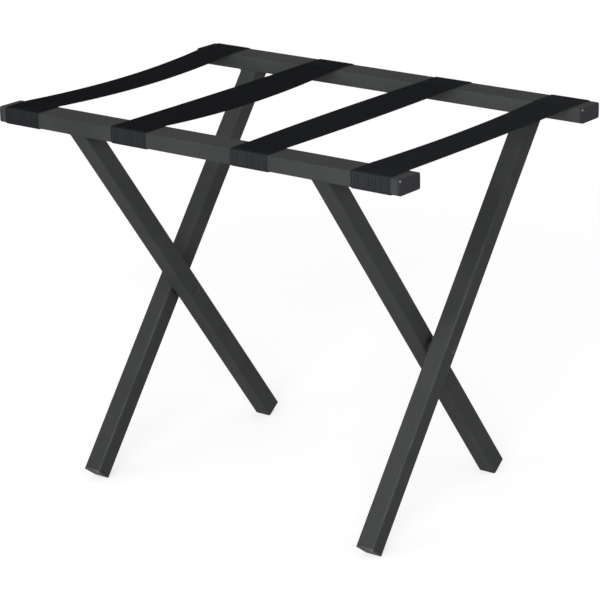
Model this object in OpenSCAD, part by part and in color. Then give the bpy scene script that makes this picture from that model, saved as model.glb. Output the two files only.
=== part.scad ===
// Folding luggage rack: two crossing frames of welded steel tube, two pivots and four webbing straps.
// X runs along the rails, Y from the inner frame's rail to the outer frame's rail, and Z is up.
// The origin is on the floor, below the middle of the rack, which stands open.

/* [Overall] */
// Height of the steel rails' top above the floor
rack_h = 500; // [460:1:560]
// Depth over the outer faces of the two rails, with the rack open
rack_d = 430; // [390:1:470]
// Length of a rail over its end caps
rail_l = 612; // [520:1:720]

/* [Rails] */
// Width of the rail tube, laid flat
rail_w = 40; // [38:1:50]
// Height of the rail tube
rail_h = 20; // [16:1:26]
// Outer corner radius of the rail tube
rail_r = 2.5; // [2:0.1:4]
// Wall thickness of the rail tube
rail_wall = 1.2; // [1:0.1:1.9]

/* [Legs] */
// Side of the square leg tube
leg_w = 25; // [22:0.5:27]
// Outer corner radius of the leg tube
leg_r = 2.5; // [2:0.1:4]
// Wall thickness of the leg tube
leg_wall = 1.2; // [1:0.1:1.9]
// How far inboard of the rail's middle the leg's centre line meets its underside
leg_shift = 3; // [0:0.5:4]
// Distance between the leg centre lines of the two frames on the floor
foot_span = 332; // [300:1:370]
// Length of rail beyond the outer leg, over the cap
rail_overhang = 74.5; // [68:0.5:100]
// Gap between an inner leg and the outer leg beside it
leg_gap = 8; // [5:0.5:12]

/* [Pivots] */
// Shank diameter of the pivot rivet
rivet_d = 8; // [6:0.5:9]
// Diameter of the rivet's domed head on the outer leg
rivet_head_d = 13; // [12.5:0.5:18]
// Diameter of the rivet's set head on the inner leg
rivet_set_d = 12; // [11:0.5:16]
// Height of either rivet head
rivet_head_h = 2.6; // [1.5:0.1:4]
// Diameter of the round spacer between the legs
spacer_d = 20; // [14:0.5:24]
// Wall thickness of the bush through each leg
bush_wall = 1; // [0.8:0.1:1.5]
// Radial running clearance of the rivet
pin_fit = 0.05; // [0.02:0.01:0.1]
// Radial clearance of a bush in its leg
bush_fit = 0.02; // [0.01:0.01:0.05]
// Gap between faces that turn on each other
face_gap = 0.3; // [0.2:0.1:0.6]

/* [End caps] */
// Thickness of a rail cap's flange
cap_flange = 3; // [2:0.5:5]
// Rounding of the flange's outer edge
cap_edge = 1; // [0.5:0.1:1.5]
// Thickness of a foot's flange at its edge
foot_flange = 3; // [2:0.5:6]
// Height of a foot's domed end above its edge
foot_dome = 1.5; // [0.5:0.1:3]
// Length of a plug's shank inside the tube
plug_l = 16; // [12:1:24]
// Wall thickness of a plug's shank
plug_wall = 1.6; // [1:0.1:2.5]
// Height of the ribs on a plug's shank
rib_h = 0.8; // [0.4:0.1:1.2]
// Thickness of a rib
rib_t = 1.2; // [0.8:0.1:2]
// Distance from one rib to the next
rib_pitch = 4.4; // [3:0.1:5]
// Clearance of the ribs in the tube
plug_fit = 0.1; // [0.05:0.05:0.2]

/* [Straps] */
// Width of the webbing
strap_w = 55; // [40:1:61]
// Thickness of the webbing
strap_t = 1; // [0.8:0.1:2]
// Clearance of the webbing round a rail
strap_fit = 0.3; // [0.2:0.1:0.5]
// Distance from the rack's middle to the centre of the middle straps
strap_mid_x = 93; // [60:1:140]
// Bare tube between an end strap and the rail cap
strap_end_gap = 8; // [4:1:15]
// How far short of the rail's inner edge the webbing's end stops, under the rail
strap_end_short = 6; // [4:1:16]
// Sag of the first strap from the left, halfway across
sag_1 = 7; // [0:0.5:20]
// Sag of the second strap
sag_2 = 4; // [0:0.5:20]
// Sag of the third strap
sag_3 = 0.5; // [0:0.5:20]
// Sag of the fourth strap
sag_4 = 2.5; // [0:0.5:20]

/* [Hidden] */
$fn = 64;

// The two frames and the two sides, as signs
inner = 1;
outer = -1;
left = -1;
right = 1;

steel = "#3b3e3d";
cap_plastic = "#2c2c2f";
foot_plastic = "#4c4c4d";
rivet_steel = "#323434";
bush_steel = "#9a9b9c";
spacer_nylon = "#141415";
webbing = "#1d1e21";

// Rails
rail_y = rack_d / 2 - rail_w / 2;
rail_z = rack_h - rail_h / 2;
rail_tube_l = rail_l - 2 * cap_flange;
rail_under_z = rack_h - rail_h;

// Legs: both frames' centre lines cross at the pivot's height
leg_top_y = rail_y - leg_shift;
foot_y = foot_span / 2;
leg_angle = atan((leg_top_y + foot_y) / rail_under_z);
pivot_z = rail_under_z * foot_y / (leg_top_y + foot_y);
outer_leg_x = rail_l / 2 - rail_overhang - leg_w / 2;
inner_leg_x = outer_leg_x - leg_gap - leg_w;
// Along a leg: from the pivot down to the foot's edge, and up past the mitre
leg_low = (pivot_z - leg_w / 2 * sin(leg_angle)) / cos(leg_angle);
leg_high = (rail_under_z - pivot_z + leg_w * sin(leg_angle)) / cos(leg_angle);
leg_tube_low = leg_low - foot_flange;

// Pivots, measured along X from the rack's middle
inner_leg_in = inner_leg_x - leg_w / 2;
inner_leg_out = inner_leg_x + leg_w / 2;
outer_leg_in = outer_leg_x - leg_w / 2;
outer_leg_out = outer_leg_x + leg_w / 2;
bush_bore_r = rivet_d / 2 + pin_fit;
bush_r = bush_bore_r + bush_wall;
leg_hole_r = bush_r + bush_fit;

// Foot dome: radius of an arc across the leg's side that rises by foot_dome, and its mesh's steps
dome_r = (leg_w * leg_w / 4 + foot_dome * foot_dome) / (2 * foot_dome);
dome_steps = 256;

// Straps: the span hangs between the rails' inner edges, and each end goes over a rail, down and under it
strap_end_x = rail_tube_l / 2 - strap_end_gap - strap_w / 2;
strap_edge_y = rack_d / 2 - rail_w;
strap_under_z = rack_h + strap_fit;
span_steps = 28;
wrap_grow = strap_fit + strap_t;

// Rectangle with round corners, centred
module rounded_rect(w, h, r) {
    square([w - 2 * r, h], center = true);
    square([w, h - 2 * r], center = true);
    for (x = [-1, 1], y = [-1, 1])
        translate([x * (w / 2 - r), y * (h / 2 - r)]) circle(r);
}

module tube_section(w, h, r, wall) {
    difference() {
        rounded_rect(w, h, r);
        rounded_rect(w - 2 * wall, h - 2 * wall, r - wall);
    }
}

// Turns a shape that was drawn upwards so that it runs out along X on the given side
module along_x(side) {
    rotate([90, 0, side * 90]) children();
}

// Puts a shape in a leg's own frame: origin at the pivot, Z up along the leg
module in_leg(frame, side) {
    x = side * (frame == inner ? inner_leg_x : outer_leg_x);
    translate([x, 0, pivot_z]) rotate([frame * leg_angle, 0, 0]) children();
}

module rail(frame) {
    color(steel)
        translate([-rail_tube_l / 2, -frame * rail_y, rail_z])
            along_x(right) linear_extrude(rail_tube_l)
                tube_section(rail_w, rail_h, rail_r, rail_wall);
}

module leg(frame, side) {
    color(steel) difference() {
        in_leg(frame, side) difference() {
            translate([0, 0, -leg_tube_low]) linear_extrude(leg_tube_low + leg_high)
                tube_section(leg_w, leg_w, leg_r, leg_wall);
            rotate([0, 90, 0]) cylinder(h = 2 * leg_w, r = leg_hole_r, center = true);
        }
        // The mitre under the rail
        translate([-rail_l, -rack_d, rail_under_z]) cube([2 * rail_l, 2 * rack_d, rack_h]);
    }
}

// Hollow shank with ribs that fits a tube of this outer size, pointing down from z = 0
module plug(w, h, r, wall) {
    hole_w = w - 2 * wall;
    hole_h = h - 2 * wall;
    hole_r = r - wall;
    shank_w = hole_w - 2 * (plug_fit + rib_h);
    shank_h = hole_h - 2 * (plug_fit + rib_h);
    translate([0, 0, -plug_l]) linear_extrude(plug_l) difference() {
        square([shank_w, shank_h], center = true);
        square([shank_w - 2 * plug_wall, shank_h - 2 * plug_wall], center = true);
    }
    for (z = [-rib_pitch / 2 : -rib_pitch : -plug_l + rib_t])
        translate([0, 0, z - rib_t]) linear_extrude(rib_t) difference() {
            rounded_rect(hole_w - 2 * plug_fit, hole_h - 2 * plug_fit, hole_r);
            square([shank_w - plug_wall, shank_h - plug_wall], center = true);
        }
}

// Slab with round corners and a rounded outer edge, standing on z = 0
module flange(w, h, r, t, edge) {
    linear_extrude(t - edge) rounded_rect(w, h, r);
    linear_extrude(t) rounded_rect(w - 2 * edge, h - 2 * edge, r - edge);
    for (s = [-1, 1]) {
        translate([s * (w / 2 - edge), 0, t - edge]) rotate([90, 0, 0])
            cylinder(h = h - 2 * r, r = edge, center = true);
        translate([0, s * (h / 2 - edge), t - edge]) rotate([0, 90, 0])
            cylinder(h = w - 2 * r, r = edge, center = true);
    }
    for (x = [-1, 1], y = [-1, 1])
        translate([x * (w / 2 - r), y * (h / 2 - r), 0]) rotate_extrude() {
            square([r, t - edge]);
            square([r - edge, t]);
            translate([r - edge, t - edge]) intersection() {
                circle(edge);
                square(edge);
            }
        }
}

module rail_cap(frame, side) {
    color(cap_plastic)
        translate([side * rail_tube_l / 2, -frame * rail_y, rail_z]) along_x(side) {
            flange(rail_w, rail_h, rail_r, cap_flange, cap_edge);
            plug(rail_w, rail_h, rail_r, rail_wall);
        }
}

// Side view of a foot: straight flange above, arc below its edge at y = 0
module foot_profile() {
    translate([-leg_w / 2, 0]) square([leg_w, foot_flange]);
    intersection() {
        translate([0, dome_r - foot_dome]) circle(dome_r, $fn = dome_steps);
        translate([-leg_w / 2, -foot_dome]) square([leg_w, foot_dome]);
    }
}

module foot(frame, side) {
    color(foot_plastic) in_leg(frame, side) {
        translate([0, 0, -leg_low]) intersection() {
            rotate([90, 0, 0]) linear_extrude(leg_w, center = true) foot_profile();
            rotate([90, 0, 90]) linear_extrude(leg_w, center = true) foot_profile();
            translate([0, 0, -foot_dome]) linear_extrude(foot_dome + foot_flange)
                rounded_rect(leg_w, leg_w, leg_r);
        }
        translate([0, 0, -leg_tube_low]) mirror([0, 0, 1]) plug(leg_w, leg_w, leg_r, leg_wall);
    }
}

// Both bushes of one frame, each as long as its leg is wide
module bushes(frame) {
    color(bush_steel) for (side = [left, right]) in_leg(frame, side)
        rotate([0, 90, 0]) difference() {
            cylinder(h = leg_w, r = bush_r, center = true);
            cylinder(h = 2 * leg_w, r = bush_bore_r, center = true);
        }
}

// Low domed head, standing on z = 0
module rivet_head(d) {
    ball_r = (d * d / 4 + rivet_head_h * rivet_head_h) / (2 * rivet_head_h);
    intersection() {
        translate([0, 0, rivet_head_h - ball_r]) sphere(ball_r);
        cylinder(h = 2 * rivet_head_h, r = d);
    }
}

// Rivet through the outer leg, the spacer and the inner leg
module rivet(side) {
    shank_in = inner_leg_in - face_gap;
    color(rivet_steel) translate([0, 0, pivot_z]) rotate([0, side * 90, 0]) {
        translate([0, 0, shank_in]) cylinder(h = outer_leg_out - shank_in, d = rivet_d);
        translate([0, 0, outer_leg_out]) rivet_head(rivet_head_d);
        translate([0, 0, shank_in]) mirror([0, 0, 1]) rivet_head(rivet_set_d);
    }
}

module spacer(side) {
    color(spacer_nylon) translate([0, 0, pivot_z]) rotate([0, side * 90, 0])
        translate([0, 0, inner_leg_out + face_gap]) difference() {
            cylinder(h = leg_gap - face_gap, d = spacer_d);
            translate([0, 0, -leg_gap]) cylinder(h = 3 * leg_gap, r = bush_bore_r);
        }
}

// Height of the strap's underside at y, from a parabola between the rails' inner edges
function strap_z(y, sag) =
    abs(y) >= strap_edge_y ? strap_under_z
    : strap_under_z - sag * (1 - pow(y / strap_edge_y, 2));

// Even steps from a to b
function steps(a, b, n) = [for (i = [0 : n]) a + (b - a) * i / n];

// Points at each y, raised by up from the strap's underside
function strap_line(ys, sag, up) = [for (y = ys) [y, strap_z(y, sag) + up]];

// The span, from the middle of one rail's top to the middle of the other's
module strap_span(sag) {
    polygon(concat(
        strap_line([-rail_y], sag, 0),
        strap_line(steps(-strap_edge_y, strap_edge_y, span_steps), sag, 0),
        strap_line([rail_y], sag, 0),
        strap_line([rail_y], sag, strap_t),
        strap_line(steps(strap_edge_y, -strap_edge_y, span_steps), sag, strap_t),
        strap_line([-rail_y], sag, strap_t)
    ));
}

// The end of the webbing: over one frame's rail, down its outer face and under it
module strap_end(frame) {
    translate([-frame * rail_y, rail_z]) difference() {
        rounded_rect(rail_w + 2 * wrap_grow, rail_h + 2 * wrap_grow, rail_r + wrap_grow);
        rounded_rect(rail_w + 2 * strap_fit, rail_h + 2 * strap_fit, rail_r + strap_fit);
        translate([frame * (rail_w - strap_end_short), 0])
            square([rail_w, 2 * rail_h], center = true);
    }
}

module strap_profile(sag) {
    strap_span(sag);
    strap_end(inner);
    strap_end(outer);
}

module strap(x, sag) {
    color(webbing) translate([x - strap_w / 2, 0, 0])
        along_x(right) linear_extrude(strap_w) strap_profile(sag);
}

rail(inner);  // inner_rail
leg(inner, left);  // inner_leg_left
leg(inner, right);  // inner_leg_right
rail_cap(inner, left);  // inner_rail_cap_left
rail_cap(inner, right);  // inner_rail_cap_right
foot(inner, left);  // inner_foot_left
foot(inner, right);  // inner_foot_right
bushes(inner);  // inner_bushes
rail(outer);  // outer_rail
leg(outer, left);  // outer_leg_left
leg(outer, right);  // outer_leg_right
rail_cap(outer, left);  // outer_rail_cap_left
rail_cap(outer, right);  // outer_rail_cap_right
foot(outer, left);  // outer_foot_left
foot(outer, right);  // outer_foot_right
bushes(outer);  // outer_bushes
rivet(left);  // pivot_rivet_left
rivet(right);  // pivot_rivet_right
spacer(left);  // pivot_spacer_left
spacer(right);  // pivot_spacer_right
strap(-strap_end_x, sag_1);  // strap_1
strap(-strap_mid_x, sag_2);  // strap_2
strap(strap_mid_x, sag_3);  // strap_3
strap(strap_end_x, sag_4);  // strap_4
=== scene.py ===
import math

import bpy
from mathutils import Matrix, Vector


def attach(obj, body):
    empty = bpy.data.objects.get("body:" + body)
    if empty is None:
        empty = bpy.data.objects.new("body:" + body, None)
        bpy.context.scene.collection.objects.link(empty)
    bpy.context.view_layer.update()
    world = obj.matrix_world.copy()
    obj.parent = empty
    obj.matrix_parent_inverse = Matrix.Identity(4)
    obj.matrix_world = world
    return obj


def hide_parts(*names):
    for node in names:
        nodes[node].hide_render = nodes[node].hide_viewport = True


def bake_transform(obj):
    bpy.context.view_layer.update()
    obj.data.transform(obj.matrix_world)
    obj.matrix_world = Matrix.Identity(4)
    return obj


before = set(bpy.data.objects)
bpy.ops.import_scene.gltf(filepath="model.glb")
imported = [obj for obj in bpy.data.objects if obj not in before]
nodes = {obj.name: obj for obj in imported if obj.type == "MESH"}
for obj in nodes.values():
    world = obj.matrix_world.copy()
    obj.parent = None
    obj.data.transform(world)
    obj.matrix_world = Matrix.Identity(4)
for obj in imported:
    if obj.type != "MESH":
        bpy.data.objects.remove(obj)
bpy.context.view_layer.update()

# The camera
# It stands where the photograph was taken from, 3.3 m away, to the right of the rack and above it.
# Its place, tilt and lens were found by fitting the rack's straight edges to the photograph.
camera_place = Vector((1.88827, -2.46775, 1.27184))
camera_looks = Vector((-0.57727, 0.75363, -0.31432)).normalized()
camera_top = Vector((-0.17756, 0.25987, 0.94918))  # the way up in the picture
focal_px, photo_px, sensor_mm = 2563.6, 600, 36  # the focal length is in the photograph's pixels

camera_right = camera_looks.cross(camera_top).normalized()
camera_up = camera_right.cross(camera_looks)
bpy.ops.object.select_all(action="DESELECT")
bpy.ops.object.camera_add()
camera = bpy.context.object
camera.name = "camera"
camera.data.sensor_width = sensor_mm
camera.data.lens = focal_px / photo_px * sensor_mm
turn = Matrix((camera_right, camera_up, -camera_looks)).transposed().to_4x4()
camera.matrix_world = Matrix.Translation(camera_place) @ turn
bpy.context.scene.camera = camera
bpy.context.scene.view_settings.view_transform = "Standard"

# The studio
# A plain white floor and a white surround, with three large soft boxes, all of them low and in front or at the right:
# they give the rails and legs their lighter front faces. The floor keeps the rack's soft shadow and fades to white.
larger, multiply = {"operation": "MAXIMUM"}, {"operation": "MULTIPLY"}  # settings that several nodes share
smooth = {"interpolation_type": "SMOOTHSTEP"}


def linear(colour):
    """An sRGB hex colour, such as "#3d3f3e", as the linear RGBA that a shader takes."""
    parts = [int(colour[i:i + 2], 16) / 255 for i in (1, 3, 5)]
    return [v / 12.92 if v <= 0.04045 else ((v + 0.055) / 1.055) ** 2.4 for v in parts] + [1.0]


def fill(node, inputs):
    """Fills a node's inputs, each named or given as i and its number, with values or with links from other sockets.
    A node given as a value stands for its first output."""
    for name, value in inputs.items():
        socket = node.inputs[int(name[1:])] if name[0] == "i" and name[1:].isdigit() else node.inputs[name]
        if isinstance(value, bpy.types.Node):
            value = value.outputs[0]
        if isinstance(value, bpy.types.NodeSocket):
            node.id_data.links.new(value, socket)
        else:
            socket.default_value = value


def add_node(tree, kind, settings=None, **inputs):
    """Adds a node, sets its properties and fills its inputs."""
    made = tree.nodes.new(kind)
    for name, value in (settings or {}).items():
        setattr(made, name, value)
    fill(made, inputs)
    return made


def seen_directly(tree):
    """Is 1 for what the camera sees, also mirrored or through glass, and 0 for light that falls on the rack."""
    rays = add_node(tree, "ShaderNodeLightPath").outputs
    seen = rays["Is Camera Ray"]
    for ray in ("Is Glossy Ray", "Is Transmission Ray"):
        seen = add_node(tree, "ShaderNodeMath", larger, i0=seen, i1=rays[ray])
    return seen


def new_material(name):
    """A new material and its node tree."""
    made = bpy.data.materials.new(name)
    made.use_nodes = True
    return made, made.node_tree


ambient = 0.33  # the world's light on the rack, where 1 is white
world = bpy.data.worlds.new("white_surround")
bpy.context.scene.world = world
world.use_nodes = True
tree = world.node_tree
level = add_node(tree, "ShaderNodeMapRange", None, i0=seen_directly(tree), i3=ambient, i4=1.0)
fill(tree.nodes["Background"], {"Color": linear("#ffffff"), "Strength": level})

# Matt seamless paper, with no gloss: near the rack it is lit and shows the shadow, and farther off it is all white.
floor_w, shadow_r, white_r = 60.0, 0.7, 1.5  # it turns white between two distances from the rack's middle
floor_white = linear("#e6e6e6")
floor_lift = 0.60  # takes the lit floor up to white where the camera sees it

bpy.ops.object.select_all(action="DESELECT")
bpy.ops.mesh.primitive_plane_add(size=floor_w)
floor = bpy.context.object
floor.name = "floor"
paper, tree = new_material("matt_white_paper")
tree.nodes.remove(tree.nodes["Principled BSDF"])
seen = seen_directly(tree)
lift = add_node(tree, "ShaderNodeMath", multiply, i0=seen, i1=floor_lift)
lit = add_node(tree, "ShaderNodeBsdfDiffuse", None, Color=floor_white)
lifted = add_node(tree, "ShaderNodeEmission", None, Strength=lift)
near = add_node(tree, "ShaderNodeAddShader", None, i0=lit, i1=lifted)
white = add_node(tree, "ShaderNodeEmission")
far = add_node(tree, "ShaderNodeMixShader", None, i0=seen, i1=lit, i2=white)
place = add_node(tree, "ShaderNodeTexCoord").outputs["Object"]
from_rack = add_node(tree, "ShaderNodeVectorMath", {"operation": "LENGTH"}, i0=place).outputs["Value"]
fade = add_node(tree, "ShaderNodeMapRange", smooth, i0=from_rack, i1=shadow_r, i2=white_r)
both = add_node(tree, "ShaderNodeMixShader", None, i0=fade, i1=near, i2=far)
fill(tree.nodes["Material Output"], {"Surface": both})
floor.data.materials.append(paper)

rack_middle = Vector((0, 0, 0.3))
soft_boxes = {
    "front_left_soft_box": (Vector((-2.56, -7.68, 1.84)), 6.1, 4.6, 177),
    "front_right_soft_box": (Vector((3.28, -5.94, 2.35)), 4.1, 3.7, 286),
    "right_soft_box": (Vector((7.68, -1.02, 2.60)), 5.1, 4.6, 54),
}
for name, (where, wide, high, watts) in soft_boxes.items():
    bpy.ops.object.select_all(action="DESELECT")
    bpy.ops.object.light_add(type="AREA", location=where)
    lamp = bpy.context.object
    lamp.name = name
    lamp.data.shape = "RECTANGLE"
    lamp.data.size, lamp.data.size_y, lamp.data.energy = wide, high, watts
    lamp.rotation_euler = (rack_middle - where).to_track_quat("-Z", "Y").to_euler()

# The rails and legs
# Rectangular and square mild-steel tube, cut, welded into two frames and powder coated satin black. The coat has a
# fine orange peel and slow changes of tone. Its corners are paler: rubbed on the rails and inner legs, and on the
# outer legs mostly a painted highlight along their rounded corners. Painted light makes some front faces and the top
# of one leg paler, painted shade darkens a band on one leg and the far rail's top, and the joints between the tubes'
# ends and their caps are dark with dust.
rack_frames, hands = {"inner": -1, "outer": 1}, {"left": -1, "right": 1}  # which way each is from the middle
pivot, leg_lean = Vector((0, 0, 0.22257)), math.radians(36.717)
rail_y, rail_z, rail_w, rail_h = 0.195, 0.490, 0.040, 0.020
leg_w, leg_x = 0.025, {"inner": 0.186, "outer": 0.219}
corner_r = 0.0025
rail_end, leg_end = 0.303, -0.26533  # where the tubes stop, from the rail's middle and from the pivot

steel_black = linear("#3b3d3c")
steel_faded = linear("#424443")
# The pale corner colour: rubbed paint on the rails and inner legs, painted highlight on the outer legs.
steel_rubbed_and_highlit = linear("#565857")
# Painted light: the paler colour that some faces are lifted to.
steel_painted_light = linear("#4d4f4e")
# Painted shade: the darker colour of faces that lie in shade.
steel_painted_shade = linear("#2b2d2c")
steel_dusty = linear("#222323")
coat_rough, rubbed_rough = 0.7, 0.5
soft_gloss = 0.05  # a full gloss would mirror the white surround and wash out the faces seen at a low angle
peel_l, peel_depth = 0.0028, 0.00003  # the coat's ripples are 1 to 3 mm long; drawn long, so that they show
mottle_l, mottle_from, mottle_full = 0.060, 0.3, 0.7  # slow changes of tone: their size, and the noise they span
patch_l, patch_from, patch_full = 0.022, 0.35, 0.7  # patches of rubbing and painted highlight along the corners, likewise
patch_least, patch_most = 0.25, 0.9  # how strong a corner's rubbing and painted highlight are between the patches and in them
corner_full = 0.35  # the rubbing and painted highlight are full at this share of a corner's radius from the face
wear_fade, painted_top_fade = 0.07, 0.015  # the height over which the corners' rubbing and painted highlight set in, low down and at the top, where the faces' painted light sets in too
above_rack = 1.0  # a height over the whole rack: wear and painted highlight below it are everywhere, and above it nowhere
# The outer legs' full strength is for the painted highlight along their corners; the rails and inner legs are only a
# little rubbed.
rail_rub, leg_rub_and_highlight = 0.15, {"inner": 0.1, "outer": 1.0}
rail_worn = (above_rack, above_rack)  # the corners are rubbed below the first height and above the second
# The legs' pale corners at these heights: painted highlight on the outer legs, a little rubbing on the inner legs.
leg_worn_and_highlit = {"left": (0.26, 0.36), "right": (0.38, above_rack)}
painted_light_above = 0.55  # how strongly painted light makes all faces paler above that second height
face_off, face_on = 0.0010, 0.0002  # a point this deep below a face is no longer on it, or still fully on it
# Where painted light makes a front face paler: from one x, or height on a leg, to another, and how much there.
front_painted_light = {"inner_rail": (0.08, 0.22, 0.36), "outer_rail": (-0.42, 0.30, 0.59),
              "outer_leg_left": (0.24, 0.20, 0.10), "outer_leg_right": (0.28, 0.25, 0.36)}
# Where painted shade darkens a leg's front face: it sets in between two heights, ends between two others, and how
# much between.
front_painted_shade = {"outer_leg_right": (0.26, 0.36, 0.38, 0.43, 0.55)}
top_painted_shade = {"outer_rail": 0.20}  # how much painted shade darkens a rail's top
joint_w, rail_dust, leg_dust = 0.0014, 0.5, 0.3  # how wide and how dark the dusty joint at a cap or foot is
rgba, absolute = {"data_type": "RGBA"}, {"operation": "ABSOLUTE"}
own_frame = {"vector_type": "TEXTURE"}  # takes a point into a frame with its own middle and lean


def coat_tube(node, centre, lean, half, rub_and_highlight, worn_and_highlit_at):
    """Powder coat for one tube. centre and lean put the pattern in the tube's own frame, where half has half its
    section's sides, so that the pale corners are found. The rub argument is how pale they are, from rubbing and from
    painted highlight, at the heights given after it; it also scales the painted light above the upper height."""
    coat, tree = new_material("satin_black_powder_coat_" + node)
    place = add_node(tree, "ShaderNodeTexCoord").outputs["Object"]
    own = add_node(tree, "ShaderNodeMapping", own_frame, Vector=place, Location=centre, Rotation=(lean, 0, 0))
    axes = add_node(tree, "ShaderNodeSeparateXYZ", None, i0=own).outputs
    height = add_node(tree, "ShaderNodeSeparateXYZ", None, i0=place).outputs["Z"]
    is_rail = "Z" in half
    where = axes["X"] if is_rail else height

    # The corners' pale line: rubbed paint on the rails and inner legs, painted highlight on the outer legs.
    at_corner = []
    for axis, side in half.items():
        out = add_node(tree, "ShaderNodeMath", absolute, i0=axes[axis])
        at_corner.append(add_node(tree, "ShaderNodeMapRange", smooth,
                                  i0=out, i1=side - corner_r, i2=side - corner_r * corner_full))
    patches = add_node(tree, "ShaderNodeTexNoise", None, Vector=place, Scale=1 / patch_l, Detail=4.0).outputs["Fac"]
    patchy = add_node(tree, "ShaderNodeMapRange", None,
                      i0=patches, i1=patch_from, i2=patch_full, i3=patch_least * rub_and_highlight, i4=patch_most * rub_and_highlight)
    below, above = worn_and_highlit_at
    low = add_node(tree, "ShaderNodeMapRange", smooth, i0=height, i1=below, i2=below - wear_fade)
    high = add_node(tree, "ShaderNodeMapRange", smooth, i0=height, i1=above, i2=above + painted_top_fade)
    worn_and_highlit = add_node(tree, "ShaderNodeMath", larger, i0=low, i1=high)
    rubbed_and_highlit = at_corner[0]
    for part in (at_corner[1], patchy, worn_and_highlit):
        rubbed_and_highlit = add_node(tree, "ShaderNodeMath", multiply, i0=rubbed_and_highlit, i1=part)

    slow = add_node(tree, "ShaderNodeTexNoise", None, Vector=place, Scale=1 / mottle_l, Detail=3.0).outputs["Fac"]
    faded = add_node(tree, "ShaderNodeMapRange", None, i0=slow, i1=mottle_from, i2=mottle_full)
    # Painted light: all faces above the upper height are made paler, and parts of some front faces below it.
    painted_light_and_scuffs = add_node(tree, "ShaderNodeMath", multiply, i0=high, i1=painted_light_above * rub_and_highlight)
    in_front = add_node(tree, "ShaderNodeMapRange", None,
                        i0=axes["Y"], i1=face_off - half["Y"], i2=face_on - half["Y"])
    if node in front_painted_light:
        start, full, most = front_painted_light[node]
        painted_pale = add_node(tree, "ShaderNodeMapRange", None, i0=where, i1=start, i2=full, i4=most)
        painted_pale = add_node(tree, "ShaderNodeMath", multiply, i0=painted_pale, i1=in_front)
        painted_light_and_scuffs = add_node(tree, "ShaderNodeMath", larger, i0=painted_light_and_scuffs, i1=painted_pale)
    layers = [(faded, steel_faded), (rubbed_and_highlit, steel_rubbed_and_highlit), (painted_light_and_scuffs, steel_painted_light)]
    # Painted shade: a darker band along the right outer leg's front face.
    if node in front_painted_shade:
        start, full, fall, end, most = front_painted_shade[node]
        painted_shade = add_node(tree, "ShaderNodeMapRange", smooth, i0=where, i1=start, i2=full, i4=most)
        still = add_node(tree, "ShaderNodeMapRange", smooth, i0=where, i1=end, i2=fall)
        for part in (still, in_front):
            painted_shade = add_node(tree, "ShaderNodeMath", multiply, i0=painted_shade, i1=part)
        layers.append((painted_shade, steel_painted_shade))
    # Painted shade on the far rail's top.
    if node in top_painted_shade:
        painted_shade = add_node(tree, "ShaderNodeMapRange", None,
                        i0=axes["Z"], i1=half["Z"] - face_off, i2=half["Z"] - face_on, i4=top_painted_shade[node])
        layers.append((painted_shade, steel_painted_shade))
    if is_rail:
        along = add_node(tree, "ShaderNodeMath", absolute, i0=axes["X"])
        clean, dusty, dust = rail_end - joint_w, rail_end - joint_w / 2, rail_dust
    else:
        along, clean, dusty, dust = axes["Z"], leg_end + joint_w, leg_end + joint_w / 2, leg_dust
    joint = add_node(tree, "ShaderNodeMapRange", smooth, i0=along, i1=clean, i2=dusty, i4=dust)
    layers.append((joint, steel_dusty))
    colour = steel_black
    for share, paint in layers:
        colour = add_node(tree, "ShaderNodeMix", rgba, i0=share, i6=colour, i7=paint).outputs[2]

    rough = add_node(tree, "ShaderNodeMapRange", None, i0=rubbed_and_highlit, i3=coat_rough, i4=rubbed_rough)
    peel = add_node(tree, "ShaderNodeTexNoise", None, Vector=place, Scale=1 / peel_l, Detail=2.0).outputs["Fac"]
    bump = add_node(tree, "ShaderNodeBump", None, Distance=peel_depth, Height=peel)
    fill(tree.nodes["Principled BSDF"], {"Base Color": colour, "Roughness": rough, "Normal": bump,
                                         "IOR": 1.5, "Specular IOR Level": soft_gloss})
    return coat


def dress(node, material):
    """Gives a CAD node its material."""
    slots = nodes[node].data.materials
    if slots:
        slots[0] = material
    else:
        slots.append(material)


coats = {}
for body, side in rack_frames.items():
    name = body + "_rail"
    coats[name] = coat_tube(name, (0, side * rail_y, rail_z), 0, {"Y": rail_w / 2, "Z": rail_h / 2},
                            rail_rub, rail_worn)
    dress(name, coats[name])
    for hand, sign in hands.items():
        name = f"{body}_leg_{hand}"
        coats[name] = coat_tube(name, (sign * leg_x[body], 0, pivot.z), -side * leg_lean,
                                {"X": leg_w / 2, "Y": leg_w / 2}, leg_rub_and_highlight[body], leg_worn_and_highlit[hand])
        dress(name, coats[name])

# The welds under the rails
# Each leg's mitred end is welded all round to the underside of its rail, and coated with the rest.
# The bead is about 3 mm across and rippled, with a ripple every 2 mm where the welder stepped along.
bead_r, ripple_pitch, ripple_depth = 0.0016, 0.0020, 0.00025
bead_drop = 0.0005  # how far its middle is below the rail
bead_corner_steps, bead_cuts = 5, 20
mitre_l, leg_top_y = leg_w / math.cos(leg_lean), 0.192


def copy_to(piece, name, place):
    """A copy of a piece with its own mesh, moved to its place."""
    made = bpy.data.objects.new(name, piece.data.copy())
    bpy.context.scene.collection.objects.link(made)
    made.data.transform(Matrix.Translation(place))
    return made


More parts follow.
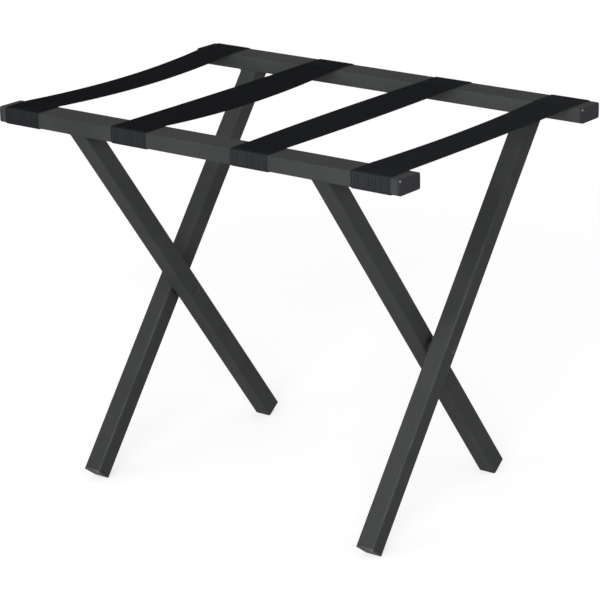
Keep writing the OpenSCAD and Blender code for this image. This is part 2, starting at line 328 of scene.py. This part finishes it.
bpy.ops.object.select_all(action="DESELECT")
bpy.ops.mesh.primitive_plane_add(size=1, location=(0, 0, 0))
bpy.ops.object.mode_set(mode="EDIT")
bpy.ops.mesh.select_all(action="SELECT")
bpy.ops.transform.resize(value=(leg_w, mitre_l, 1))
bpy.ops.mesh.bevel(offset=corner_r, segments=bead_corner_steps, affect="VERTICES")
bpy.ops.mesh.delete(type="ONLY_FACE")
bpy.ops.mesh.select_all(action="SELECT")
bpy.ops.mesh.subdivide(number_cuts=bead_cuts)
bpy.ops.object.mode_set(mode="OBJECT")
bpy.ops.object.convert(target="CURVE")
bead = bpy.context.object
bead.data.bevel_depth = bead_r
bead.data.bevel_resolution = 2
bpy.ops.object.convert(target="MESH")
bead = bpy.context.object
for v in bead.data.vertices:
    round_leg = math.atan2(v.co.y / mitre_l, v.co.x / leg_w)
    ripple = 2 * (leg_w + mitre_l) / ripple_pitch * round_leg / (2 * math.pi)
    v.co.z *= 1 + ripple_depth / bead_r * math.sin(2 * math.pi * ripple)
bpy.ops.object.shade_smooth()

for body, side in rack_frames.items():
    for hand, sign in hands.items():
        weld = copy_to(bead, f"weld_{body}_{hand}",
                       (sign * leg_x[body], side * leg_top_y, rail_z - rail_h / 2 - bead_drop))
        weld.data.materials.append(coats[f"{body}_leg_{hand}"])
        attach(weld, body + "_frame")
bpy.data.objects.remove(bead)

# The pivots
# A domed steel rivet, blackened, goes through each crossing: through a thin bush in each hollow leg, so that the
# tube isn't crushed, and through a nylon spacer that keeps the legs' coats from rubbing.
wave_l = 0.31  # the length of a Wave texture's wave at a scale of 1

# Blackened steel, headed cold: a dull dark grey with the tool's fine rings, and paler where the black is rubbed off.
rivet_black = linear("#303232")
rivet_scuffed = linear("#454747")
turning_pitch, turning_depth = 0.0006, 0.00002  # rings left by the rivet tool
rivet_scuff_l, rivet_scuff_from, rivet_scuff_full = 0.002, 0.5, 0.72
rivet_smooth, rivet_rough = 0.38, 0.6
rivet_material, tree = new_material("blackened_rivet_steel")
place = add_node(tree, "ShaderNodeTexCoord").outputs["Object"]
own = add_node(tree, "ShaderNodeMapping", own_frame, Vector=place, Location=pivot)
rings = add_node(tree, "ShaderNodeTexWave", {"wave_type": "RINGS", "rings_direction": "X"},
                 Vector=own, Scale=wave_l / turning_pitch, Distortion=1.5).outputs["Fac"]
scuffs = add_node(tree, "ShaderNodeTexNoise", None, Vector=place, Scale=1 / rivet_scuff_l, Detail=4.0).outputs["Fac"]
painted_light_and_scuffs = add_node(tree, "ShaderNodeMapRange", None, i0=scuffs, i1=rivet_scuff_from, i2=rivet_scuff_full)
colour = add_node(tree, "ShaderNodeMix", rgba, i0=painted_light_and_scuffs, i6=rivet_black, i7=rivet_scuffed).outputs[2]
rough = add_node(tree, "ShaderNodeMapRange", None, i0=scuffs, i3=rivet_smooth, i4=rivet_rough)
bump = add_node(tree, "ShaderNodeBump", None, Distance=turning_depth, Height=rings)
fill(tree.nodes["Principled BSDF"], {"Base Color": colour, "Roughness": rough, "Normal": bump,
                                     "Specular IOR Level": 0.12})

# Bright turned steel: a clean metal with the lathe's fine feed marks, which draw its highlight out along the bush.
bush_bright = linear("#a4a5a7")
bush_dull = linear("#7d7e80")
feed_pitch, feed_depth = 0.0003, 0.00001
bush_material, tree = new_material("bright_turned_steel")
place = add_node(tree, "ShaderNodeTexCoord").outputs["Object"]
cuts = add_node(tree, "ShaderNodeTexWave", {"wave_type": "BANDS", "bands_direction": "X"},
                Vector=place, Scale=wave_l / feed_pitch, Distortion=0.4).outputs["Fac"]
colour = add_node(tree, "ShaderNodeMix", rgba, i0=cuts, i6=bush_dull, i7=bush_bright).outputs[2]
bump = add_node(tree, "ShaderNodeBump", None, Distance=feed_depth, Height=cuts)
fill(tree.nodes["Principled BSDF"], {"Base Color": colour, "Normal": bump, "Metallic": 1.0, "Roughness": 0.3})

# Moulded nylon: a deep black with a fine grain and a weak, broad sheen.
nylon_black = linear("#0c0c0d")
nylon_worn = linear("#161617")
nylon_grain, nylon_depth = 0.0012, 0.00002
nylon, tree = new_material("moulded_black_nylon")
place = add_node(tree, "ShaderNodeTexCoord").outputs["Object"]
grain = add_node(tree, "ShaderNodeTexNoise", None, Vector=place, Scale=1 / nylon_grain, Detail=3.0).outputs["Fac"]
colour = add_node(tree, "ShaderNodeMix", rgba, i0=grain, i6=nylon_black, i7=nylon_worn).outputs[2]
bump = add_node(tree, "ShaderNodeBump", None, Distance=nylon_depth, Height=grain)
fill(tree.nodes["Principled BSDF"], {"Base Color": colour, "Normal": bump,
                                     "IOR": 1.53, "Roughness": 0.55, "Specular IOR Level": 0.2})

for hand in hands:
    dress("pivot_rivet_" + hand, rivet_material)
    dress("pivot_spacer_" + hand, nylon)
for body in rack_frames:
    dress(body + "_bushes", bush_material)

# The end caps and feet
# Injection-moulded polyethylene plugs, pressed into the open tube ends, with ribs that grip inside.
# The mould's fine spark-eroded grain makes them satin; the feet are a greyer plastic. The caps' corners carry
# painted glints, and the feet a painted reflection with a painted glint.
# The third cap colour is for the painted glints.
cap_black, cap_grey, cap_painted_glint = linear("#303135"), linear("#36373a"), linear("#7c7c7f")
cap_smooth, cap_rough, cap_patch_l = 0.5, 0.65, 0.012
cap_corner_x, cap_corner_y, cap_corner_z = 0.3055, 0.019, 0.0076  # from the rack's middle and the rail's middle line
foot_dark, foot_grey = linear("#37383b"), linear("#414245")
# The feet's painted reflection colour, and their painted glint colour.
foot_painted_reflection, foot_painted_glint = linear("#5d5d5e"), linear("#6e6e70")
foot_smooth, foot_rough, foot_patch_l = 0.55, 0.75, 0.006
foot_flange = 0.003
reflection_from, reflection_full, reflection_least = -0.012, 0.010, 0.3  # across a foot: where the painted reflection is least and full
reflection_side_off, reflection_side_on = 0.0007, 0.0012  # and how near to its side towards +X it stops
dome_fade = 0.0005  # the depth over which it sets in, down the foot
foot_glint_offset = 0.0112  # from a foot's middle to the painted glint at its corner, both ways
cap_glint_r, foot_glint_r = 0.0020, 0.0026  # the painted glints' radii
glint_full = 0.4  # a painted glint is palest within this share of its radius
plastic_from, plastic_full = 0.35, 0.68  # the noise that a plastic's patches start at, and are full at
spark_grain, spark_depth = 0.0007, 0.000015


def moulded_plastic(name, colour_a, colour_b, rough_a, rough_b, patch):
    """Polyethylene with a fine moulded grain, and two close colours in soft patches of patch metres."""
    plastic, tree = new_material(name)
    place = add_node(tree, "ShaderNodeTexCoord").outputs["Object"]
    patches = add_node(tree, "ShaderNodeTexNoise", None, Vector=place, Scale=1 / patch, Detail=4.0).outputs["Fac"]
    mixed = add_node(tree, "ShaderNodeMapRange", None, i0=patches, i1=plastic_from, i2=plastic_full)
    colour = add_node(tree, "ShaderNodeMix", rgba, i0=mixed, i6=colour_a, i7=colour_b).outputs[2]
    rough = add_node(tree, "ShaderNodeMapRange", None, i0=mixed, i3=rough_a, i4=rough_b)
    grain = add_node(tree, "ShaderNodeTexNoise", None, Vector=place, Scale=1 / spark_grain, Detail=2.0).outputs["Fac"]
    bump = add_node(tree, "ShaderNodeBump", None, Distance=spark_depth, Height=grain)
    fill(tree.nodes["Principled BSDF"], {"Base Color": colour, "Roughness": rough, "Normal": bump,
                                         "IOR": 1.5, "Specular IOR Level": soft_gloss})
    return plastic


def mix_in_painted_light(tree, share, colour):
    """Mixes its share of one more colour, painted light, into a plastic's."""
    shader = tree.nodes["Principled BSDF"]
    under = shader.inputs["Base Color"].links[0].from_socket
    mixed = add_node(tree, "ShaderNodeMix", rgba, i0=share, i6=under, i7=colour).outputs[2]
    fill(shader, {"Base Color": mixed})


def paint_glints(tree, place, spots, spot_r, colour):
    """Adds painted glints, pale spots spot_r in radius and soft at the rim, around each of the spots in place's
    coordinates.
    """
    nearest = 1.0  # farther than any spot
    for spot in spots:
        away = add_node(tree, "ShaderNodeVectorMath", {"operation": "DISTANCE"}, i0=place, i1=spot).outputs["Value"]
        nearest = add_node(tree, "ShaderNodeMath", {"operation": "MINIMUM"}, i0=away, i1=nearest)
    rubbed_and_highlit = add_node(tree, "ShaderNodeMapRange", smooth, i0=nearest, i1=spot_r, i2=spot_r * glint_full)
    mix_in_painted_light(tree, rubbed_and_highlit, colour)


# The caps' upper corners carry painted glints: small pale spots.
cap_material = moulded_plastic("moulded_black_polyethylene", cap_black, cap_grey,
                               cap_smooth, cap_rough, cap_patch_l)
tree = cap_material.node_tree
place = add_node(tree, "ShaderNodeTexCoord").outputs["Object"]
folded = add_node(tree, "ShaderNodeVectorMath", absolute, i0=place)
cap_corners = [(cap_corner_x, rail_y + y, rail_z + cap_corner_z) for y in (-cap_corner_y, cap_corner_y)]
paint_glints(tree, folded, cap_corners, cap_glint_r, cap_painted_glint)

# The outer feet carry a painted reflection, palest towards the corner at +X, and the inner feet only on their domes;
# each foot also has a painted glint at a corner towards +X.
# Both feet of a frame share a material, which is laid out from each foot's own middle.
foot_materials = {}
for body, lit_from in (("inner", leg_end - foot_flange), ("outer", leg_end)):
    plastic = moulded_plastic("scuffed_grey_polyethylene_" + body, foot_dark, foot_grey,
                              foot_smooth, foot_rough, foot_patch_l)
    tree = plastic.node_tree
    place = add_node(tree, "ShaderNodeTexCoord").outputs["Object"]
    own = add_node(tree, "ShaderNodeMapping", own_frame,
                   Vector=place, Location=(0, 0, pivot.z), Rotation=(-rack_frames[body] * leg_lean, 0, 0))
    axes = add_node(tree, "ShaderNodeSeparateXYZ", None, i0=own).outputs
    wide = add_node(tree, "ShaderNodeMath", {"operation": "WRAP"}, i0=axes["X"], i1=2 * leg_x[body], i2=0.0)
    wide = add_node(tree, "ShaderNodeMath", {"operation": "SUBTRACT"}, i0=wide, i1=leg_x[body])
    # Painted reflection: the foot is paler across its front, most towards +X.
    painted_reflection = add_node(tree, "ShaderNodeMapRange", None, i0=wide, i1=reflection_from, i2=reflection_full, i3=reflection_least, i4=1.0)
    inside = add_node(tree, "ShaderNodeMapRange", None, i0=wide, i1=leg_w / 2 - reflection_side_off, i2=leg_w / 2 - reflection_side_on)
    under = add_node(tree, "ShaderNodeMapRange", None, i0=axes["Z"], i1=lit_from, i2=lit_from - dome_fade)
    worn_and_highlit = painted_reflection
    for part in (inside, under):
        worn_and_highlit = add_node(tree, "ShaderNodeMath", multiply, i0=worn_and_highlit, i1=part)
    mix_in_painted_light(tree, worn_and_highlit, foot_painted_reflection)
    own = add_node(tree, "ShaderNodeCombineXYZ", None, i0=wide, i1=axes["Y"], i2=axes["Z"])
    spot = (foot_glint_offset, -foot_glint_offset * rack_frames[body], leg_end - foot_flange)
    paint_glints(tree, own, [spot], foot_glint_r, foot_painted_glint)
    foot_materials[body] = plastic
for body in rack_frames:
    for hand in hands:
        dress(f"{body}_rail_cap_{hand}", cap_material)
        dress(f"{body}_foot_{hand}", foot_materials[body])

# The straps
# Black woven polypropylene webbing, 55 mm wide and 1 mm thick, cut and heat-sealed to one length per strap. Each end
# goes over its rail, down the outer face and under it, where the rivets below hold it to the underside.
# The straps lie a little askew and sag unevenly, as the photograph shows: one value for each long edge, left first.
strap_w, strap_t, strap_fit = 0.055, 0.0010, 0.00004  # the fit is the air between webbing and tube
strap_near_x = {"strap_1": -0.2675, "strap_2": -0.0935, "strap_3": 0.0911, "strap_4": 0.2652}
strap_far_x = {"strap_1": -0.2722, "strap_2": -0.0974, "strap_3": 0.0895, "strap_4": 0.2650}
strap_sag = {"strap_1": (0.0072, 0.0073), "strap_2": (0.0008, 0.0071),
             "strap_3": (-0.0014, 0.0014), "strap_4": (0.0035, 0.0013)}
strap_lag = {"strap_1": 0.0012, "strap_2": 0.0002, "strap_3": 0.0, "strap_4": 0.0004}  # more towards the far rail
rail_in, rail_out = rail_y - rail_w / 2, rail_y + rail_w / 2
rail_top, rail_under = rail_z + rail_h / 2, rail_z - rail_h / 2
wrap_r = corner_r + strap_fit + strap_t / 2
end_short = 0.006  # from the rail's inner edge to the sealed end, under the rail
sealed_l, sealed_t = 0.0005, 0.6  # the melted end is this long, and this share of the webbing's thickness
ring_step, bend_steps = 0.0035, 6  # how far apart the mesh's rings are, and how many make a bend
selvedge, ribs, rib_points, rib_depth = 0.0015, 17, 4, 0.00010
rib_pitch = (strap_w - 2 * selvedge) / ribs
selvedge_t = strap_t * 0.36  # half the thickness at the selvedge
selvedge_rim = ((0.45, 1.05), (0.12, 0.72), (0.0, 0.0))  # its rounding: shares of its width, and of that thickness

# Fading and painted sheen: 0 is the darkest webbing, on the straps least used, and 1 the palest. Besides fading, the
# panels down the rails' outer faces and the webbing over the far rail are paler with painted sheen, and the rails'
# top corners carry a painted highlight.
wear_on_top = {"strap_1": 0.06, "strap_2": 0.06, "strap_3": 0.24, "strap_4": 0.48}
# Below the rails' corners the paleness is fading and painted sheen.
wear_and_sheen_on_wrap = {"strap_1": 0.28, "strap_2": 0.52, "strap_3": 0.64, "strap_4": 0.70}
far_sheen, corner_highlight = 0.18, 0.25  # how much more on the far rail, as painted sheen, and on the rails' corners, as painted highlight


def straight(a, b):
    """Points from a up to but not at b, about a ring apart."""
    n = max(1, round(math.dist(a, b) / ring_step))
    return [(a[0] + (b[0] - a[0]) * i / n, a[1] + (b[1] - a[1]) * i / n) for i in range(n)]


def bend(y, z, r, start, stop):
    """Points on an arc about (y, z), from one angle up to but not at the other, in degrees."""
    angles = [math.radians(start + (stop - start) * i / bend_steps) for i in range(bend_steps)]
    return [(y + r * math.cos(t), z + r * math.sin(t)) for t in angles]


def strap_line():
    """The webbing's middle line without its sag, as (y, z) points from one end over both rails to the other."""
    flat_out, out_y = rail_out - corner_r, rail_out - corner_r + wrap_r
    corner_up, corner_low = rail_top - corner_r, rail_under + corner_r
    top, low, end_y = corner_up + wrap_r, corner_low - wrap_r, rail_in + end_short
    half = straight((0, top), (rail_in, top))
    half += straight((rail_in, top), (flat_out, top))
    half += bend(flat_out, corner_up, wrap_r, 90, 0)
    half += straight((out_y, corner_up), (out_y, corner_low))
    half += bend(flat_out, corner_low, wrap_r, 0, -90)
    half += straight((flat_out, low), (end_y + sealed_l, low))
    half += [(end_y + sealed_l, low), (end_y, low)]
    return [(-y, z) for y, z in half[:0:-1]] + half


def webbing_section():
    """The webbing's cross-section as (across, out) points: ribs along both faces, and thin rounded selvedges."""
    face = []
    for i in range(ribs * rib_points + 1):
        x = -strap_w / 2 + selvedge + rib_pitch * i / rib_points
        wave = 0.5 - 0.5 * math.cos(2 * math.pi * i / rib_points)
        face.append((x, strap_t / 2 - rib_depth * (1 - wave)))
    rim = [(strap_w / 2 - selvedge * inset, selvedge_t * out) for inset, out in selvedge_rim]
    right_half = rim + [(x, -h) for x, h in rim[-2::-1]]
    return face + right_half + [(x, -h) for x, h in reversed(face)] + [(-x, -h) for x, h in right_half]


def strap_wear_and_sheen(y, z, top, wrap):
    """How pale the webbing is at a point, from fading and painted sheen: top on the span, wrap below the rails'
    corners, more painted sheen over the far rail and a painted highlight on the corners.
    """
    sheen_over_far = min(max((y - rail_in) / corner_r, 0), 1) * far_sheen
    down = min(max((rail_top - z) / corner_r, 0), 1)
    return (top + sheen_over_far) * (1 - down) + wrap * down + corner_highlight * 4 * down * (1 - down)


def weave_strap(name, near_x, far_x, sag, lag, top, wrap):
    """One strap's webbing as a closed mesh, with a UV map in metres, across and then along, and its fading and
    painted sheen.
    """
    line, section = strap_line(), webbing_section()
    verts, faces, wear_and_sheen, along = [], [], [], [0.0]
    for i, (y, z) in enumerate(line):
        before, after = line[max(i - 1, 0)], line[min(i + 1, len(line) - 1)]
        run = Vector((after[0] - before[0], after[1] - before[1])).normalized()
        middle_x = near_x + (far_x - near_x) * (0.5 + 0.5 * min(max(y / rail_y, -1), 1))
        hang = max(0.0, 1 - (y / rail_in) ** 2)
        thick = sealed_t if i in (0, len(line) - 1) else 1.0
        for across, out in section:
            drop = sag[0] + (sag[1] - sag[0]) * (across / strap_w + 0.5) + lag * y / rail_in
            verts.append((middle_x + across, y - run.y * out * thick, z + run.x * out * thick - drop * hang))
            wear_and_sheen.append(strap_wear_and_sheen(y, z, top, wrap))
        if i:
            along.append(along[-1] + math.dist(line[i - 1], (y, z)))
    n = len(section)
    for i in range(len(line) - 1):
        faces += [(i * n + k, i * n + (k + 1) % n, (i + 1) * n + (k + 1) % n, (i + 1) * n + k) for k in range(n)]
    last = (len(line) - 1) * n
    faces += [tuple(range(n))[::-1], tuple(range(last, last + n))]
    mesh = bpy.data.meshes.new(name)
    mesh.from_pydata(verts, [], faces)
    uv = mesh.uv_layers.new(name="cloth")
    for loop in mesh.loops:
        uv.data[loop.index].uv = (section[loop.vertex_index % n][0] + strap_w / 2, along[loop.vertex_index // n])
    mesh.attributes.new("wear_and_sheen", "FLOAT", "POINT").data.foreach_set("value", wear_and_sheen)
    strap = bpy.data.objects.new(name, mesh)
    bpy.context.scene.collection.objects.link(strap)
    return strap, along[-1]


# Woven polypropylene: matt black yarns that catch a little light, with ribs between darker grooves along the strap,
# and streaks where it is rubbed. Each yarn shows as rounded floats, half a float further on in every other yarn.
webbing_fresh = linear("#232427")
# The palest webbing, used for fading and for painted sheen.
webbing_faded_and_sheen = linear("#37393c")
yarn_shade, rib_shade, streak_shade = 0.85, 0.22, 0.18  # how far yarn, ribs and rubbed streaks depart from the colour
yarn_w, yarn_l, yarn_depth = 0.0015, 0.0024, 0.00012  # a warp yarn's width, and how far it floats over the weft
streak_w, streak_l, streak_from, streak_full = 0.0016, 0.030, 0.3, 0.7
webbing, tree = new_material("woven_black_polypropylene_webbing")
cloth = add_node(tree, "ShaderNodeUVMap", {"uv_map": "cloth"})
axes = add_node(tree, "ShaderNodeSeparateXYZ", None, i0=cloth).outputs
yarn = add_node(tree, "ShaderNodeMath", {"operation": "DIVIDE"}, i0=axes["X"], i1=yarn_w)
row = add_node(tree, "ShaderNodeMath", {"operation": "FLOOR"}, i0=yarn)
odd = add_node(tree, "ShaderNodeMath", {"operation": "MODULO"}, i0=row, i1=2.0)
shift = add_node(tree, "ShaderNodeMath", multiply, i0=odd, i1=0.5)
pick = add_node(tree, "ShaderNodeMath", {"operation": "DIVIDE"}, i0=axes["Y"], i1=yarn_l)
pick = add_node(tree, "ShaderNodeMath", {"operation": "ADD"}, i0=pick, i1=shift)
rounds = []
for turns in (yarn, pick):
    angle = add_node(tree, "ShaderNodeMath", multiply, i0=turns, i1=math.pi)
    wave = add_node(tree, "ShaderNodeMath", {"operation": "SINE"}, i0=angle)
    rounds.append(add_node(tree, "ShaderNodeMath", absolute, i0=wave))
float_h = add_node(tree, "ShaderNodeMath", multiply, i0=rounds[0], i1=rounds[1])
# The webbing's stored paleness holds fading and painted sheen.
worn_and_highlit = add_node(tree, "ShaderNodeAttribute", {"attribute_name": "wear_and_sheen"}).outputs["Fac"]
colour = add_node(tree, "ShaderNodeMix", rgba, i0=worn_and_highlit, i6=webbing_fresh, i7=webbing_faded_and_sheen).outputs[2]
shade = add_node(tree, "ShaderNodeMapRange", None, i0=float_h, i3=yarn_shade, i4=2 - yarn_shade)
rib = add_node(tree, "ShaderNodeMath", {"operation": "SUBTRACT"}, i0=axes["X"], i1=selvedge)
rib = add_node(tree, "ShaderNodeMath", multiply, i0=rib, i1=2 * math.pi / rib_pitch)
groove = add_node(tree, "ShaderNodeMath", {"operation": "COSINE"}, i0=rib)
ribbed = add_node(tree, "ShaderNodeMapRange", None, i0=groove, i1=-1.0, i2=1.0, i3=1 + rib_shade, i4=1 - rib_shade)
long = add_node(tree, "ShaderNodeMapping", None, Vector=cloth, Scale=(1 / streak_w, 1 / streak_l, 1))
streak = add_node(tree, "ShaderNodeTexNoise", None, Vector=long, Scale=1.0, Detail=2.0).outputs["Fac"]
streaked = add_node(tree, "ShaderNodeMapRange", None,
                    i0=streak, i1=streak_from, i2=streak_full, i3=1 - streak_shade, i4=1 + streak_shade)
for part in (ribbed, streaked):
    shade = add_node(tree, "ShaderNodeMath", multiply, i0=shade, i1=part)
colour = add_node(tree, "ShaderNodeVectorMath", {"operation": "SCALE"}, i0=colour, Scale=shade)
bump = add_node(tree, "ShaderNodeBump", None, Distance=yarn_depth, Height=float_h)
fill(tree.nodes["Principled BSDF"], {"Base Color": colour, "Normal": bump,
                                     "IOR": 1.49, "Roughness": 0.9, "Specular IOR Level": 0.0})

smooth_below = math.radians(50)
for name in strap_near_x:
    strap, strap_l = weave_strap(name.replace("strap", "webbing"), strap_near_x[name], strap_far_x[name],
                                 strap_sag[name], strap_lag[name], wear_on_top[name], wear_and_sheen_on_wrap[name])
    bpy.ops.object.select_all(action="DESELECT")
    strap.select_set(True)
    bpy.context.view_layer.objects.active = strap
    bpy.ops.object.shade_smooth_by_angle(angle=smooth_below)
    strap.data.materials.append(webbing)
    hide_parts(name)
    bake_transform(strap)

# The straps' rivets
# Two steel blind rivets, blackened, hold each end of each strap to the underside of its rail. The domed head lies
# on the webbing, the shank goes through it and the tube's wall, and the head's middle keeps the snapped mandrel.
head_r, head_h, shank_r, mandrel_r = 0.00475, 0.0015, 0.0020, 0.0011
rim_h = head_h * 0.4
dome_steps = ((0.0007, 0.45), (0.0012, 0.15))  # each goes in by a length, and out by a share of the head's height
mandrel_gap, mandrel_deep = 0.0001, head_h * 0.3
shank_in = 0.0022  # how far the shank goes past the webbing
straight_on = 0.9  # the least z of the normal of a face that looks straight up or down
rivet_inset = 0.016  # from the strap's middle to a rivet
head_z = rail_under - strap_fit - strap_t


def pick_faces(piece, wanted):
    """Selects the faces whose centre and normal pass the test, ready for edit mode."""
    bpy.ops.object.mode_set(mode="EDIT")
    bpy.ops.mesh.select_mode(type="FACE")
    bpy.ops.mesh.select_all(action="DESELECT")
    bpy.ops.object.mode_set(mode="OBJECT")
    for face in piece.data.polygons:
        face.select = wanted(face.center, face.normal)
    bpy.ops.object.mode_set(mode="EDIT")


bpy.ops.object.select_all(action="DESELECT")
bpy.ops.mesh.primitive_cylinder_add(vertices=24, radius=head_r, depth=rim_h, location=(0, 0, -rim_h / 2))
rivet = bpy.context.object
pick_faces(rivet, lambda centre, normal: normal.z < -straight_on)
for inset, out in dome_steps:
    bpy.ops.mesh.inset(thickness=inset)
    bpy.ops.transform.translate(value=(0, 0, -head_h * out))
bpy.ops.mesh.inset(thickness=head_r - sum(inset for inset, out in dome_steps) - mandrel_r)
bpy.ops.mesh.inset(thickness=mandrel_gap)
bpy.ops.transform.translate(value=(0, 0, mandrel_deep))
pick_faces(rivet, lambda centre, normal: normal.z > straight_on and centre.z > -rim_h / 4)
bpy.ops.mesh.inset(thickness=head_r - shank_r)
bpy.ops.mesh.extrude_region_move(TRANSFORM_OT_translate={"value": (0, 0, strap_t + shank_in)})
bpy.ops.object.mode_set(mode="OBJECT")
bpy.ops.object.shade_smooth_by_angle(angle=smooth_below)
rivet.data.transform(rivet.matrix_world)
rivet.matrix_world = Matrix()
rivet.data.materials.append(rivet_material)

for (body, side), strap_x in zip(rack_frames.items(), (strap_near_x, strap_far_x)):
    for name, x in strap_x.items():
        for hand, sign in hands.items():
            fixed = copy_to(rivet, f"{name}_rivet_{body}_{hand}", (x + sign * rivet_inset, side * rail_y, head_z))
            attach(fixed, body + "_frame")
bpy.data.objects.remove(rivet)
